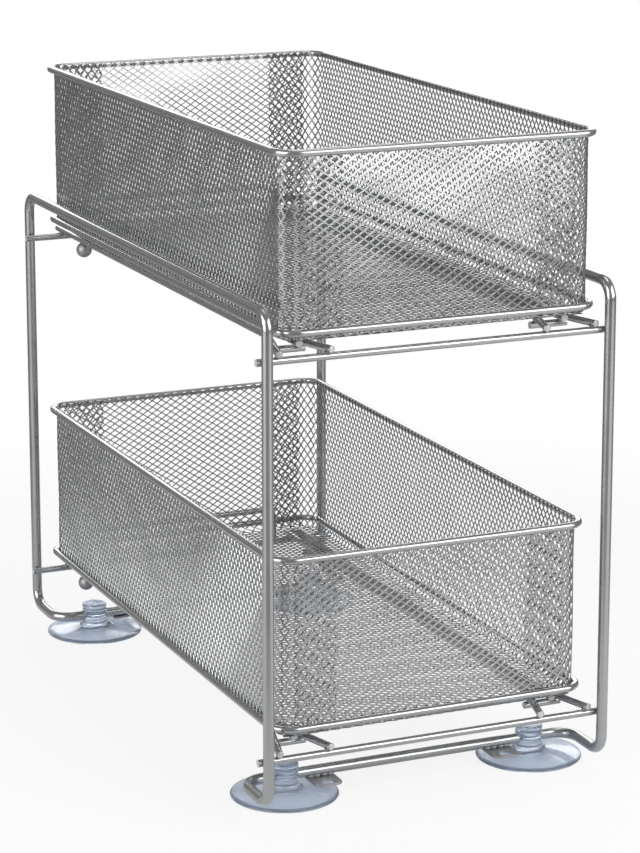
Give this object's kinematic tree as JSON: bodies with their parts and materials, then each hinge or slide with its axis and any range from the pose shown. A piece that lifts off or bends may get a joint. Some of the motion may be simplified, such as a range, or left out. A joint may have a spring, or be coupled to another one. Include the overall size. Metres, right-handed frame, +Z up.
{
  "type": "pull out cabinet basket",
  "caption": "Two-tier pull-out basket for a cupboard shelf: mesh baskets on wire runners that slide out of a steel wire frame standing on suction cups.",
  "frame": {"origin": "on the floor under the middle of the frame, where the suction cups stand", "axes": "+Z up, -Y towards the front, where the baskets pull out, +X to the right seen from the front"},
  "size_m": [0.207, 0.388, 0.3567],
  "materials": {
    "wire_steel": "satin silver",
    "mesh_steel": "satin silver",
    "tab_steel": "satin silver",
    "button_steel": "satin silver",
    "clear_vinyl": "clear, glossy"
  },
  "bodies": {
    "frame": {"front_left_screw_tab": "tab_steel", "front_left_suction_cup": "clear_vinyl", "front_right_screw_tab": "tab_steel", "front_right_suction_cup": "clear_vinyl", "left_frame_wire": "wire_steel", "lower_front_cross_bar": "wire_steel", "lower_left_inner_rail": "wire_steel", "lower_left_outer_rail": "wire_steel", "lower_left_tie_bar": "wire_steel", "lower_rear_cross_bar": "wire_steel", "lower_right_inner_rail": "wire_steel", "lower_right_outer_rail": "wire_steel", "lower_right_tie_bar": "wire_steel", "lower_stop_loop": "wire_steel", "rear_left_screw_tab": "tab_steel", "rear_left_suction_cup": "clear_vinyl", "rear_right_screw_tab": "tab_steel", "rear_right_suction_cup": "clear_vinyl", "right_frame_wire": "wire_steel", "upper_front_cross_bar": "wire_steel", "upper_left_inner_rail": "wire_steel", "upper_left_outer_rail": "wire_steel", "upper_left_tie_bar": "wire_steel", "upper_rear_cross_bar": "wire_steel", "upper_right_inner_rail": "wire_steel", "upper_right_outer_rail": "wire_steel", "upper_right_tie_bar": "wire_steel", "upper_stop_loop": "wire_steel"},
    "upper_basket": {"upper_bottom_rim": "wire_steel", "upper_left_runner": "wire_steel", "upper_left_stop_button": "button_steel", "upper_mesh_tray": "mesh_steel", "upper_right_runner": "wire_steel", "upper_right_stop_button": "button_steel", "upper_top_rim": "wire_steel"},
    "lower_basket": {"lower_bottom_rim": "wire_steel", "lower_left_runner": "wire_steel", "lower_left_stop_button": "button_steel", "lower_mesh_tray": "mesh_steel", "lower_right_runner": "wire_steel", "lower_right_stop_button": "button_steel", "lower_top_rim": "wire_steel"}
  },
  "joints": [
    {"name": "upper_basket_slide", "type": "slide", "parent": "frame", "child": "upper_basket", "axis": [0, -1, 0], "range_m": [-0.0073, 0.3078]},
    {"name": "lower_basket_slide", "type": "slide", "parent": "frame", "child": "lower_basket", "axis": [0, -1, 0], "range_m": [0, 0.3151]}
  ]
}
